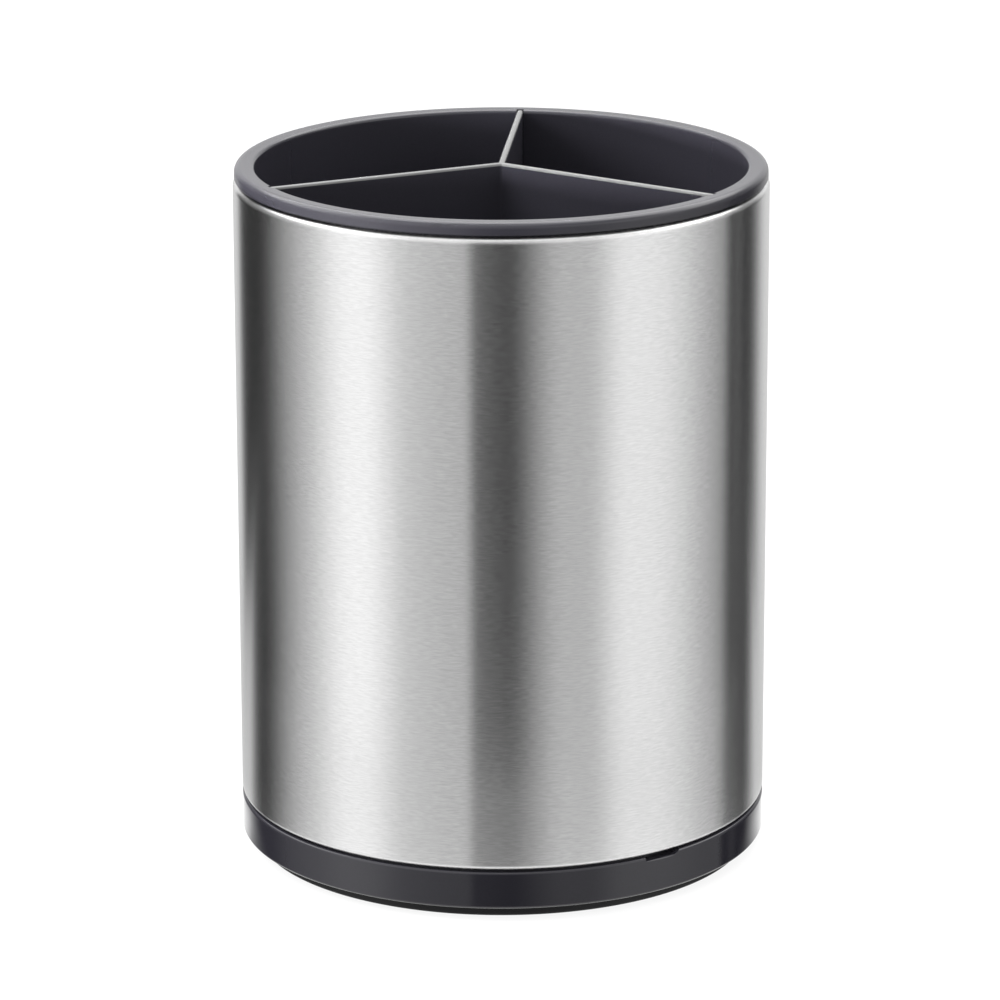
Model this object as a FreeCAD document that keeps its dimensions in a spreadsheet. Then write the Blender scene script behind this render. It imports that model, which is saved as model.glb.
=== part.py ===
"""Round cutlery drainer: a steel sleeve on a drip tray, with a lift-out cup and a three-way divider."""
import FreeCAD, Part
import math
import os

import Sketcher

# Driving dimensions in millimetres, degrees and counts.
SIZES = (
    ("sleeve_diameter", 130.0, "outside of the steel sleeve and the tray's ring"),
    ("sleeve_length", 154.9, "height of the steel"),
    ("sheet_gauge", 0.6, "thickness of the steel sheet"),
    ("foot_bend_inside", 0.4, "inside radius where the sheet turns in at its foot"),
    ("top_bend_inside", 1.0, "inside radius where the sheet turns in at its top"),
    ("lip_width", 2.8, "how far each turned-in lip reaches, from the outside"),
    ("foot_height", 3.0, "table to the underside of the tray"),
    ("foot_recess", 3.5, "how far the foot ring stands back under the tray"),
    ("foot_width", 6.0, "foot ring, across"),
    ("foot_round", 0.6, "edges that meet the table"),
    ("tongue_width", 2.4, "tongue on top of the foot ring, across"),
    ("tongue_height", 1.2, "tongue on top of the foot ring"),
    ("tongue_clearance", 0.1, "tongue in its groove, each way"),
    ("ring_height", 9.3, "visible band of the tray"),
    ("ring_round", 0.6, "outer edges of that band"),
    ("reveal_gap", 0.5, "shadow gap between the band and the steel"),
    ("tray_floor", 1.2, "tray floor above the tongue's groove"),
    ("tray_wall", 1.8, "spigot wall, and the roof of the channel behind the band"),
    ("tray_floor_round", 2.0, "inside corner of the tray"),
    ("channel_width", 1.3, "hollow behind the band, open below"),
    ("shoulder_width", 1.5, "seat that carries the sleeve's lower lip"),
    ("spigot_height", 6.0, "spigot above the seat"),
    ("spigot_round", 0.5, "lead-in on top of the spigot"),
    ("spigot_clearance", 0.3, "spigot in the sleeve's lower lip"),
    ("notch_width", 10.6, "lifting notch in the band's top edge"),
    ("notch_slant", 1.8, "how far one end of the notch slants in towards its floor"),
    ("notch_depth", 0.9, "lifting notch below the band's top edge"),
    ("notch_angle", -53.3, "where the notch is, from +X"),
    ("rim_height", 3.7, "rim of the cup above the steel"),
    ("rim_inset", 0.3, "how far the rim stands back from the outside of the steel"),
    ("rim_reveal", 0.5, "shadow gap between the rim's outer edge and the steel"),
    ("rim_seat_width", 1.5, "flat under the rim that rests on the sleeve's upper lip"),
    ("rim_edge_round", 0.3, "lower outer edge of the rim"),
    ("rim_round", 1.8, "outer shoulder of the rim"),
    ("crest_width", 0.4, "flat on top of the rim"),
    ("mouth_drop", 0.3, "how far the rim falls from its crest to the mouth"),
    ("mouth_round", 0.7, "inner edge of the rim"),
    ("cup_clearance", 0.3, "cup in the sleeve's upper lip"),
    ("cup_wall", 2.2, "side wall of the cup"),
    ("cup_floor", 2.0, "floor of the cup"),
    ("cup_taper", 1.6, "how far the wall leans in from rim to floor"),
    ("cup_floor_round", 3.0, "inside corner of the cup"),
    ("drip_gap", 2.0, "cup's underside above the spigot"),
    ("slot_count", 24, "drain slots round the cup's floor"),
    ("slot_width", 3.0, "drain slot, across"),
    ("slot_web", 2.2, "floor left between two slots at their inner ends"),
    ("slot_margin", 1.5, "floor left between a slot and the inside corner"),
    ("blade_count", 3, "blades of the divider"),
    ("blade_angle", 85.4, "where the first blade is, from +X"),
    ("blade_thickness", 1.6, "one blade"),
    ("blade_clearance", 0.2, "blade in its groove, each way"),
    ("blade_drop", 0.35, "blades below the rim's crest"),
    ("hub_round", 0.8, "corners where the blades meet"),
    ("cut_overrun", 5.0, "how far a cut runs past what it cuts"),
)

# Shares of the wall that a feature sits in.
GROOVE_SHARE = 0.6
ROUND_LIMIT_SHARE = 0.9

FULL_TURN = 360
TOLERANCE = 1e-5

# Heights above the table, each worked out from the sheet.
RING_TOP = "(Sizes.foot_height + Sizes.ring_height)"
SEAT = f"({RING_TOP} + Sizes.reveal_gap)"
SPIGOT_TOP = f"({SEAT} + Sizes.spigot_height)"
TRAY_GROOVE_TOP = "(Sizes.foot_height + Sizes.tongue_height + Sizes.tongue_clearance)"
TRAY_FLOOR_TOP = f"({TRAY_GROOVE_TOP} + Sizes.tray_floor)"
NOTCH_FLOOR = f"({RING_TOP} - Sizes.notch_depth)"
CHANNEL_ROOF = f"({NOTCH_FLOOR} - Sizes.tray_wall)"
SLEEVE_TOP = f"({SEAT} + Sizes.sleeve_length)"
RIM_TOP = f"({SLEEVE_TOP} + Sizes.rim_height)"
CUP_BASE = f"({SPIGOT_TOP} + Sizes.drip_gap)"
CUP_FLOOR_TOP = f"({CUP_BASE} + Sizes.cup_floor)"
MOUTH_TOP = f"({RIM_TOP} - Sizes.mouth_drop)"
BLADE_TOP = f"({RIM_TOP} - Sizes.blade_drop)"

# Radii from the common axis.
SLEEVE_RADIUS = "(Sizes.sleeve_diameter / 2)"
FOOT_BEND = "(Sizes.foot_bend_inside + Sizes.sheet_gauge)"
TOP_BEND = "(Sizes.top_bend_inside + Sizes.sheet_gauge)"
FOOT_BEND_RADIUS = f"({SLEEVE_RADIUS} - {FOOT_BEND})"
TOP_BEND_RADIUS = f"({SLEEVE_RADIUS} - {TOP_BEND})"
LIP_RADIUS = f"({SLEEVE_RADIUS} - Sizes.lip_width)"
SPIGOT_OUTER = f"({LIP_RADIUS} - Sizes.spigot_clearance)"
SPIGOT_INNER = f"({SPIGOT_OUTER} - Sizes.tray_wall)"
SHOULDER_RADIUS = f"({SPIGOT_OUTER} + Sizes.shoulder_width)"
CHANNEL_OUTER = f"({SPIGOT_OUTER} + Sizes.channel_width)"
FOOT_OUTER = f"({SLEEVE_RADIUS} - Sizes.foot_recess)"
FOOT_INNER = f"({FOOT_OUTER} - Sizes.foot_width)"
TONGUE_INNER = f"({FOOT_OUTER} - (Sizes.foot_width + Sizes.tongue_width) / 2)"
TONGUE_OUTER = f"({TONGUE_INNER} + Sizes.tongue_width)"
CUP_MOUTH_OUTER = f"({LIP_RADIUS} - Sizes.cup_clearance)"
CUP_MOUTH = f"({CUP_MOUTH_OUTER} - Sizes.cup_wall)"
CUP_BASE_OUTER = f"({CUP_MOUTH_OUTER} - Sizes.cup_taper)"
CUP_FLOOR_EDGE = f"({CUP_MOUTH} - Sizes.cup_taper)"
CUP_FLAT_EDGE = f"({CUP_FLOOR_EDGE} - Sizes.cup_floor_round)"
GROOVE_DEPTH = f"(Sizes.cup_wall * {GROOVE_SHARE})"
BLADE_REACH = f"({GROOVE_DEPTH} - Sizes.blade_clearance)"
CUP_LEAN = f"(Sizes.cup_taper / ({MOUTH_TOP} - {CUP_FLOOR_TOP}))"
RIM_RADIUS = f"({SLEEVE_RADIUS} - Sizes.rim_inset)"
RIM_SEAT_RADIUS = f"({CUP_MOUTH_OUTER} + Sizes.rim_seat_width)"
RIM_ROUND = f"min(Sizes.rim_round; (Sizes.rim_height - Sizes.rim_reveal) * {ROUND_LIMIT_SHARE})"
CREST_RADIUS = f"({RIM_RADIUS} - {RIM_ROUND} - Sizes.crest_width)"
SLOT_HALF = "(Sizes.slot_width / 2)"
SLOT_START = f"(Sizes.slot_count * (Sizes.slot_width + Sizes.slot_web) / {2 * math.pi})"
SLOT_END = f"({CUP_FLAT_EDGE} - Sizes.slot_margin - {SLOT_HALF})"
HUB_CORNER = "(Sizes.blade_thickness / 2 / sin(180 / Sizes.blade_count))"

# A sketch numbers the points of a line or arc as none, start, end and centre.
_, START, END, CENTRE = range(4)

# Its own axes have numbers below zero, and its origin is the start of the first.
ACROSS_AXIS, UP_AXIS = range(-1, -3, -1)

doc = FreeCAD.newDocument("CutleryDrainer")


def fill_sheet():
    """Put the driving dimensions into the document's spreadsheet."""
    sheet = doc.addObject("Spreadsheet::Sheet", "Sizes")
    for row, (alias, value, note) in enumerate(SIZES, start=1):
        sheet.set(f"A{row}", alias)
        sheet.set(f"B{row}", str(value))
        sheet.setAlias(f"B{row}", alias)
        sheet.set(f"C{row}", note)
    doc.recompute()
    return sheet


sizes = fill_sheet()


def number(text):
    """The present value of an expression."""
    return float(sizes.evalExpression(text))


def new_body(label):
    """An empty body, labelled as its piece."""
    body = doc.addObject("PartDesign::Body", label)
    body.Label = label
    return body


def origin_feature(body, role):
    """One of the body's own planes or axes."""
    return next(item for item in body.Origin.OriginFeatures if item.Role == role)


def new_sketch(body, name, plane):
    """A sketch on one of the body's own planes."""
    sketch = body.newObject("Sketcher::SketchObject", name)
    sketch.AttachmentSupport = [(origin_feature(body, plane), "")]
    sketch.MapMode = "FlatFace"
    return sketch


def pin_one(sketch, kind, axis, item, point, text):
    """Hold one coordinate of a point at an expression."""
    if text == "0":
        sketch.addConstraint(Sketcher.Constraint("PointOnObject", item, point, axis))
        return
    hold = Sketcher.Constraint(kind, ACROSS_AXIS, START, item, point, number(text))
    index = sketch.addConstraint(hold)
    sketch.setExpression(f"Constraints[{index}]", text)


def draw_outline(sketch, corners):
    """Close an outline through corners; a corner with a third item starts an arc about that centre."""
    places = [FreeCAD.Vector(number(across), number(up), 0) for across, up, *_ in corners]
    ends = []
    for side, (_, _, *arc) in enumerate(corners):
        here, there = places[side], places[(side + 1) % len(places)]
        if not arc:
            sketch.addGeometry(Part.LineSegment(here, there), False)
            ends.append((START, END))
            continue
        centre = FreeCAD.Vector(*(number(text) for text in arc[0]), 0)
        out, back = here - centre, there - centre
        turns_left = out.cross(back).z > 0
        first, last = (out, back) if turns_left else (back, out)
        circle = Part.Circle(centre, FreeCAD.Vector(0, 0, 1), out.Length)
        angles = [math.atan2(arm.y, arm.x) for arm in (first, last)]
        sketch.addGeometry(Part.ArcOfCircle(circle, *angles), False)
        ends.append((START, END) if turns_left else (END, START))
    for side, (across, up, *arc) in enumerate(corners):
        following = (side + 1) % len(corners)
        joint = (side, ends[side][1], following, ends[following][0])
        sketch.addConstraint(Sketcher.Constraint("Coincident", *joint))
        pin_one(sketch, "DistanceX", UP_AXIS, side, ends[side][0], across)
        pin_one(sketch, "DistanceY", ACROSS_AXIS, side, ends[side][0], up)
        for centre_across, _ in arc:
            pin_one(sketch, "DistanceX", UP_AXIS, side, CENTRE, centre_across)


def revolve(body, name, corners):
    """A solid of revolution about the body's upright axis, from a half section."""
    sketch = new_sketch(body, f"{name}Section", "XZ_Plane")
    draw_outline(sketch, corners)
    turned = body.newObject("PartDesign::Revolution", name)
    turned.Profile = sketch
    turned.ReferenceAxis = (sketch, ["V_Axis"])
    turned.Angle = FULL_TURN
    doc.recompute()
    return turned


def repeat_round(body, name, feature, count):
    """Copies of a feature, evenly round the upright axis."""
    pattern = body.newObject("PartDesign::PolarPattern", name)
    pattern.Originals = [feature]
    pattern.Axis = (origin_feature(body, "Z_Axis"), [""])
    pattern.Angle = FULL_TURN
    pattern.setExpression("Occurrences", count)
    body.Tip = pattern
    doc.recompute()
    return pattern


def round_hoops(body, name, radius, hoops):
    """Round the circular edges at the given radius and height pairs."""
    base = body.Tip
    wanted = [(number(across), number(up)) for across, up in hoops]
    edges = []
    for index, edge in enumerate(base.Shape.Edges, start=1):
        if not isinstance(edge.Curve, Part.Circle):
            continue
        here = (edge.Curve.Radius, edge.Curve.Center.z)
        if any(math.dist(here, place) < TOLERANCE for place in wanted):
            edges.append(f"Edge{index}")
    if len(edges) != len(hoops):
        raise ValueError(f"{name} found {len(edges)} of {len(hoops)} edges")
    fillet = body.newObject("PartDesign::Fillet", name)
    fillet.Base = (base, edges)
    fillet.setExpression("Radius", radius)
    doc.recompute()
    return fillet


def turn_body(body, angle):
    """Turn a finished body about the upright axis."""
    body.Placement = FreeCAD.Placement(FreeCAD.Vector(), FreeCAD.Rotation(FreeCAD.Vector(0, 0, 1), 0))
    body.setExpression("Placement.Rotation.Angle", angle)
    doc.recompute()


def must_shrink(feature, before):
    """Stop if a cut took nothing away."""
    if feature.Shape.Volume > before - TOLERANCE:
        raise ValueError(f"{feature.Name} cut nothing")


def make_foot_ring():
    """Soft ring that stands on the table, with a tongue that plugs into the tray."""
    body = new_body("foot_ring")
    tongue_top = "(Sizes.foot_height + Sizes.tongue_height)"
    revolve(body, "FootRing", [
        (FOOT_INNER, "0"),
        (FOOT_OUTER, "0"),
        (FOOT_OUTER, "Sizes.foot_height"),
        (TONGUE_OUTER, "Sizes.foot_height"),
        (TONGUE_OUTER, tongue_top),
        (TONGUE_INNER, tongue_top),
        (TONGUE_INNER, "Sizes.foot_height"),
        (FOOT_INNER, "Sizes.foot_height"),
    ])
    round_hoops(body, "FootRingEdges", "Sizes.foot_round", [(FOOT_INNER, "0"), (FOOT_OUTER, "0")])
    return body


def make_drip_tray():
    """Base of the drainer: visible band, seat and spigot for the sleeve, and a dish that catches water."""
    body = new_body("drip_tray")
    groove_inner = f"({TONGUE_INNER} - Sizes.tongue_clearance)"
    groove_outer = f"({TONGUE_OUTER} + Sizes.tongue_clearance)"
    revolve(body, "Tray", [
        ("0", "Sizes.foot_height"),
        (groove_inner, "Sizes.foot_height"),
        (groove_inner, TRAY_GROOVE_TOP),
        (groove_outer, TRAY_GROOVE_TOP),
        (groove_outer, "Sizes.foot_height"),
        (SPIGOT_OUTER, "Sizes.foot_height"),
        (SPIGOT_OUTER, CHANNEL_ROOF),
        (CHANNEL_OUTER, CHANNEL_ROOF),
        (CHANNEL_OUTER, "Sizes.foot_height"),
        (SLEEVE_RADIUS, "Sizes.foot_height"),
        (SLEEVE_RADIUS, RING_TOP),
        (SHOULDER_RADIUS, RING_TOP),
        (SHOULDER_RADIUS, SEAT),
        (SPIGOT_OUTER, SEAT),
        (SPIGOT_OUTER, SPIGOT_TOP),
        (SPIGOT_INNER, SPIGOT_TOP),
        (SPIGOT_INNER, TRAY_FLOOR_TOP),
        ("0", TRAY_FLOOR_TOP),
    ])
    band_edges = [(SLEEVE_RADIUS, "Sizes.foot_height"), (SLEEVE_RADIUS, RING_TOP)]
    round_hoops(body, "BandEdges", "Sizes.ring_round", band_edges)
    spigot_edges = [(SPIGOT_OUTER, SPIGOT_TOP), (SPIGOT_INNER, SPIGOT_TOP)]
    round_hoops(body, "SpigotEdges", "Sizes.spigot_round", spigot_edges)
    round_hoops(body, "TrayCorner", "Sizes.tray_floor_round", [(SPIGOT_INNER, TRAY_FLOOR_TOP)])
    cut_lifting_notch(body)
    turn_body(body, "Sizes.notch_angle")
    return body


def cut_lifting_notch(body):
    """Notch through the band and the seat, so that a fingertip gets under the sleeve's lip."""
    before = body.Tip.Shape.Volume
    sketch = new_sketch(body, "NotchOutline", "YZ_Plane")
    sketch.setExpression("AttachmentOffset.Base.z", SPIGOT_OUTER)
    half = "(Sizes.notch_width / 2)"
    top = f"({SEAT} + Sizes.cut_overrun)"
    draw_outline(sketch, [
        (f"-{half}", NOTCH_FLOOR),
        (f"({half} - Sizes.notch_slant)", NOTCH_FLOOR),
        (half, RING_TOP),
        (half, top),
        (f"-{half}", top),
    ])
    notch = body.newObject("PartDesign::Pocket", "LiftingNotch")
    notch.Profile = sketch
    notch.Type = "ThroughAll"
    notch.Reversed = True
    doc.recompute()
    must_shrink(notch, before)


def make_steel_sleeve():
    """Tube of brushed sheet with both edges turned in as flat lips."""
    body = new_body("steel_sleeve")
    wall_foot = f"({SEAT} + {FOOT_BEND})"
    wall_top = f"({SLEEVE_TOP} - {TOP_BEND})"
    inside = f"({SLEEVE_RADIUS} - Sizes.sheet_gauge)"
    foot_lip = f"({SEAT} + Sizes.sheet_gauge)"
    top_lip = f"({SLEEVE_TOP} - Sizes.sheet_gauge)"
    foot_centre = (FOOT_BEND_RADIUS, wall_foot)
    top_centre = (TOP_BEND_RADIUS, wall_top)
    revolve(body, "Sleeve", [
        (LIP_RADIUS, SEAT),
        (FOOT_BEND_RADIUS, SEAT, foot_centre),
        (SLEEVE_RADIUS, wall_foot),
        (SLEEVE_RADIUS, wall_top, top_centre),
        (TOP_BEND_RADIUS, SLEEVE_TOP),
        (LIP_RADIUS, SLEEVE_TOP),
        (LIP_RADIUS, top_lip),
        (TOP_BEND_RADIUS, top_lip, top_centre),
        (inside, wall_top),
        (inside, wall_foot, foot_centre),
        (FOOT_BEND_RADIUS, foot_lip),
        (LIP_RADIUS, foot_lip),
    ])
    return body


def make_insert_cup():
    """Moulded cup that hangs from its rim in the sleeve, with a slotted floor and blade grooves."""
    body = new_body("insert_cup")
    rim_base = f"({SLEEVE_TOP} + Sizes.rim_reveal)"
    revolve(body, "Cup", [
        ("0", CUP_BASE),
        (CUP_BASE_OUTER, CUP_BASE),
        (CUP_MOUTH_OUTER, SLEEVE_TOP),
        (RIM_SEAT_RADIUS, SLEEVE_TOP),
        (RIM_SEAT_RADIUS, rim_base),
        (RIM_RADIUS, rim_base),
        (RIM_RADIUS, RIM_TOP),
        (CREST_RADIUS, RIM_TOP),
        (CUP_MOUTH, MOUTH_TOP),
        (CUP_FLOOR_EDGE, CUP_FLOOR_TOP),
        ("0", CUP_FLOOR_TOP),
    ])
    round_hoops(body, "RimShoulder", RIM_ROUND, [(RIM_RADIUS, RIM_TOP)])
    round_hoops(body, "RimLowerEdge", "Sizes.rim_edge_round", [(RIM_RADIUS, rim_base)])
    round_hoops(body, "MouthEdge", "Sizes.mouth_round", [(CUP_MOUTH, MOUTH_TOP)])
    round_hoops(body, "CupCorner", "Sizes.cup_floor_round", [(CUP_FLOOR_EDGE, CUP_FLOOR_TOP)])
    outer_corner = "Sizes.cup_floor_round + Sizes.cup_floor"
    round_hoops(body, "CupOuterCorner", outer_corner, [(CUP_BASE_OUTER, CUP_BASE)])
    cut_drain_slots(body)
    cut_blade_grooves(body)
    turn_body(body, "Sizes.blade_angle")
    return body


def cut_drain_slots(body):
    """Radial slots right through the cup's floor, half a step to either side of each blade."""
    before = body.Tip.Shape.Volume
    sketch = new_sketch(body, "SlotOutline", "XY_Plane")
    sketch.setExpression("AttachmentOffset.Rotation.Angle", "180 / Sizes.slot_count")
    inner, outer = (SLOT_START, "0"), (SLOT_END, "0")
    draw_outline(sketch, [
        (SLOT_START, f"-{SLOT_HALF}"),
        (SLOT_END, f"-{SLOT_HALF}", outer),
        (f"({SLOT_END} + {SLOT_HALF})", "0", outer),
        (SLOT_END, SLOT_HALF),
        (SLOT_START, SLOT_HALF, inner),
        (f"({SLOT_START} - {SLOT_HALF})", "0", inner),
    ])
    slot = body.newObject("PartDesign::Pocket", "DrainSlot")
    slot.Profile = sketch
    slot.Type = "ThroughAll"
    slot.Reversed = True
    doc.recompute()
    must_shrink(slot, before)
    repeat_round(body, "DrainSlots", slot, "Sizes.slot_count")


def cut_blade_grooves(body):
    """Upright grooves in the cup's wall, parallel to its lean, that run out through the rim."""
    before = body.Tip.Shape.Volume
    sketch = new_sketch(body, "GrooveOutline", "XZ_Plane")
    top = f"({RIM_TOP} + Sizes.cut_overrun)"
    groove_base = f"({CUP_FLOOR_EDGE} + {GROOVE_DEPTH})"
    draw_outline(sketch, [
        (CUP_FLAT_EDGE, CUP_FLOOR_TOP),
        (groove_base, CUP_FLOOR_TOP),
        (f"({groove_base} + {CUP_LEAN} * ({top} - {CUP_FLOOR_TOP}))", top),
        (CUP_FLAT_EDGE, top),
    ])
    groove = body.newObject("PartDesign::Pocket", "BladeGroove")
    groove.Profile = sketch
    groove.SideType = "Symmetric"
    groove.setExpression("Length", "Sizes.blade_thickness + 2 * Sizes.blade_clearance")
    doc.recompute()
    must_shrink(groove, before)
    repeat_round(body, "BladeGrooves", groove, "Sizes.blade_count")


def make_divider():
    """Blades that stand on the cup's floor, meet at the axis and reach into the wall's grooves."""
    body = new_body("divider")
    sketch = new_sketch(body, "BladeOutline", "XZ_Plane")
    blade_base = f"({CUP_FLOOR_EDGE} + {BLADE_REACH})"
    draw_outline(sketch, [
        ("0", CUP_FLOOR_TOP),
        (blade_base, CUP_FLOOR_TOP),
        (f"({blade_base} + {CUP_LEAN} * ({BLADE_TOP} - {CUP_FLOOR_TOP}))", BLADE_TOP),
        ("0", BLADE_TOP),
    ])
    blade = body.newObject("PartDesign::Pad", "Blade")
    blade.Profile = sketch
    blade.SideType = "Symmetric"
    blade.setExpression("Length", "Sizes.blade_thickness")
    doc.recompute()
    repeat_round(body, "Blades", blade, "Sizes.blade_count")
    round_hub_corners(body)
    turn_body(body, "Sizes.blade_angle")
    return body


def round_hub_corners(body):
    """Round the upright corners where two blades meet."""
    base = body.Tip
    reach = number(HUB_CORNER)
    edges = []
    for index, edge in enumerate(base.Shape.Edges, start=1):
        ends = [vertex.Point for vertex in edge.Vertexes]
        if all(abs(math.hypot(end.x, end.y) - reach) < TOLERANCE for end in ends):
            edges.append(f"Edge{index}")
    if len(edges) != number("Sizes.blade_count"):
        raise ValueError(f"HubCorners found {len(edges)} edges")
    fillet = body.newObject("PartDesign::Fillet", "HubCorners")
    fillet.Base = (base, edges)
    fillet.setExpression("Radius", "Sizes.hub_round")
    doc.recompute()


def check(bodies):
    """Stop if any object of the document failed or a piece isn't one sound solid."""
    for item in doc.Objects:
        if {"Invalid", "Error"} & set(item.State):
            raise ValueError(f"{item.Name} is {item.State}")
    for body in bodies:
        shape = body.Shape
        if shape.isNull() or not shape.isValid() or len(shape.Solids) != 1:
            raise ValueError(f"{body.Label} isn't one sound solid")


def export(bodies):
    """Write each piece to its own file."""
    os.makedirs("parts", exist_ok=True)
    for body in bodies:
        body.Shape.exportStep(f"parts/{body.Label}.step")
        print(body.Label, round(body.Shape.Volume), "mm3", body.Shape.BoundBox)


pieces = [make_foot_ring(), make_drip_tray(), make_steel_sleeve(), make_insert_cup(), make_divider()]
doc.recompute()
check(pieces)
export(pieces)
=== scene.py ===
"""Looks of a round cutlery drainer: a brushed steel sleeve on a dark tray, with a divided dark cup in it."""
import math

import bmesh
import bpy
from mathutils import Matrix, Vector


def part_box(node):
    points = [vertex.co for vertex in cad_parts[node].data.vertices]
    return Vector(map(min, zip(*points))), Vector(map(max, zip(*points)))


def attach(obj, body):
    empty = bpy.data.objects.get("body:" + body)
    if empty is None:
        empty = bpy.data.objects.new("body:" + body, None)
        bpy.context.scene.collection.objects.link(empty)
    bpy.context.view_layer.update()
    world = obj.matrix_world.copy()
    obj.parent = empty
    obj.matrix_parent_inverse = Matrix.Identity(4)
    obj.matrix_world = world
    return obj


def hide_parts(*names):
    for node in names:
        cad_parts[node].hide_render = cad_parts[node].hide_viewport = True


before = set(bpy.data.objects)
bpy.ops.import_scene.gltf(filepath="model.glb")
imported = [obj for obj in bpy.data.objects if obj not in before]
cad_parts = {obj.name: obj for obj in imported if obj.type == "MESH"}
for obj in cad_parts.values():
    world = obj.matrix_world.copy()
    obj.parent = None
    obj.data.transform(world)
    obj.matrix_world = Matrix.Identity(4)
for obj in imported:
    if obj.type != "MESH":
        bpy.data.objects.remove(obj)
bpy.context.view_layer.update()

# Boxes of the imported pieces, which give the main radii and heights
foot_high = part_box("foot_ring")[1]
tray_low, tray_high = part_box("drip_tray")
sleeve_low, sleeve_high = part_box("steel_sleeve")
cup_low, cup_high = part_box("insert_cup")
divider_low, divider_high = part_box("divider")
OUTER = sleeve_high.x

# Foot ring, in metres
FOOT_WIDTH = 0.0060
TONGUE_INSET = 0.0018
FOOT_EDGE = 0.0006

# Drip tray, in metres
TONGUE_CLEARANCE = 0.0001
TRAY_FLOOR = 0.0025
TRAY_CORNER = 0.0020
RING_HEIGHT = 0.0093
RING_EDGE = 0.0007
RING_WALL = 0.0018
CHANNEL_ROOF = 0.0066
SEAT_WIDTH = 0.0015
SPIGOT_INSET = 0.0031
SPIGOT_WALL = 0.0018
SPIGOT_EDGE = 0.0005
NOTCH_WIDTH = 0.0106
NOTCH_DEPTH = 0.0009
NOTCH_SLANT = 0.0018
NOTCH_FLARE = 0.00025
NOTCH_ANGLE = math.radians(-53.3)
NOTCH_COUNT = 1

# Steel sleeve, in metres
SHEET = 0.0006
LIP_WIDTH = 0.0028
BEND = 0.0016
FOOT_BEND = 0.0012

# Cup, in metres
CUP_WALL = 0.0022
CUP_FLOOR = 0.0020
CUP_LEAN = 0.01079
CUP_CORNER = 0.0030
CUP_INSET = 0.0031
RIM_GAP = 0.0005
RIM_DROP = 0.0002
RIM_SEAT = 0.0026
RIM_EDGE = 0.0003
SHOULDER = 0.0016
RIM_LEAN = 0.0001
CREST_WIDTH = 0.0004
CREST_ROUND = 0.0100
MOUTH_DROP = 0.00014
MOUTH_EDGE = 0.0009

# Drain slots and blade grooves in the cup, in metres
SLOT_COUNT = 24
SLOT_WIDTH = 0.0030
SLOT_START = 0.01986
SLOT_END = 0.0521
SLOT_FLARE = 0.0004
GROOVE_WIDTH = 0.00176
GROOVE_END_GAP = 0.0002
GROOVE_OVERSHOOT = 0.0016

# Divider, in metres
BLADE_COUNT = 3
BLADE_ANGLE = math.radians(85.4)
BLADE_THICKNESS = 0.0016
BLADE_ROUND = 0.0007
BLADE_END = 0.05922
HUB_CORNER = 0.0008

# Fineness of the meshes
TURN_STEPS = 288
CORNER_STEPS = 10
HOLD = 0.00015
WELD = 0.000002
CREASE = math.radians(32)

# Camera, from the photo's edge ellipses
PHOTO_PIXELS = 1000
FOCAL_PIXELS = 5193.7
SENSOR = 36.0
CAMERA_PLACE = Vector((-0.00048, -1.22864, 0.44722))
CAMERA_PITCH = 0.2860
CAMERA_ROLL = -0.0022


def add(tree, kind, wires=None, **options):
    """Add a node, set its options, and feed each listed input with a value or another node's output."""
    node = tree.nodes.new(kind)
    for option, value in options.items():
        setattr(node, option, value)
    for key, value in (wires or {}).items():
        if isinstance(value, bpy.types.NodeSocket):
            tree.links.new(value, node.inputs[key])
        else:
            node.inputs[key].default_value = value
    return node


def new_group(name, kind, inputs, outputs):
    """Start a node group with named sockets, and give it with its input and output nodes."""
    tree = bpy.data.node_groups.new(name, kind)
    for label, socket in inputs:
        tree.interface.new_socket(label, in_out="INPUT", socket_type="NodeSocket" + socket)
    for label, socket in outputs:
        tree.interface.new_socket(label, in_out="OUTPUT", socket_type="NodeSocket" + socket)
    return tree, tree.nodes.new("NodeGroupInput").outputs, tree.nodes.new("NodeGroupOutput").inputs


# Colour sockets of a Mix node, by number: its two inputs and its result
COLOUR_A = 6
COLOUR_B = 7
COLOUR_RESULT = 2

# Middle of a noise that runs from nought to one, and how many layers the slow unevenness has
NOISE_MIDDLE = 0.5
MOTTLE_DETAIL = 3.0

# Finishes: darkest and lightest tones, roughness, and what the shared groups and the bump are set to
STEEL_TONES = ((0.60, 0.60, 0.60), (0.76, 0.76, 0.76))
STEEL_ROUGHNESS = (0.23, 0.27)
STEEL_GRAIN = {"Scale Across": 480.0, "Scale Up": 3200.0, "Detail": 1.0}
STEEL_MOTTLE = {"Scale": 24.0, "Amount": 0.03}
GIRTH_TURN = 0.25
PLASTIC_TONES = ((0.025, 0.024, 0.031), (0.031, 0.030, 0.038))
# Painted highlight: the light tone laid on the marked rounded tops of the divider's blades
PAINTED_HIGHLIGHT_TONE = (0.13, 0.13, 0.13, 1.0)
GLOSS_TO_SATIN = (0.07, 0.24)
PLASTIC_GRAIN = {"Scale Across": 2600.0, "Scale Up": 2600.0, "Detail": 2.0}
PLASTIC_MOTTLE = {"Scale": 40.0, "Amount": 0.04}
PLASTIC_BUMP = {"Strength": 0.05, "Distance": 0.00002}
PLASTIC_IOR = 1.48
RUBBER_TONES = ((0.011, 0.011, 0.012), (0.017, 0.017, 0.018))
RUBBER_ROUGHNESS = 0.55
RUBBER_GRAIN = {"Scale Across": 1800.0, "Scale Up": 1800.0, "Detail": 3.0}
RUBBER_MOTTLE = {"Scale": 60.0, "Amount": 0.16}
RUBBER_BUMP = {"Strength": 0.25, "Distance": 0.00008}
RUBBER_SPECULAR = 0.25


# Node groups for materials

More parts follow.
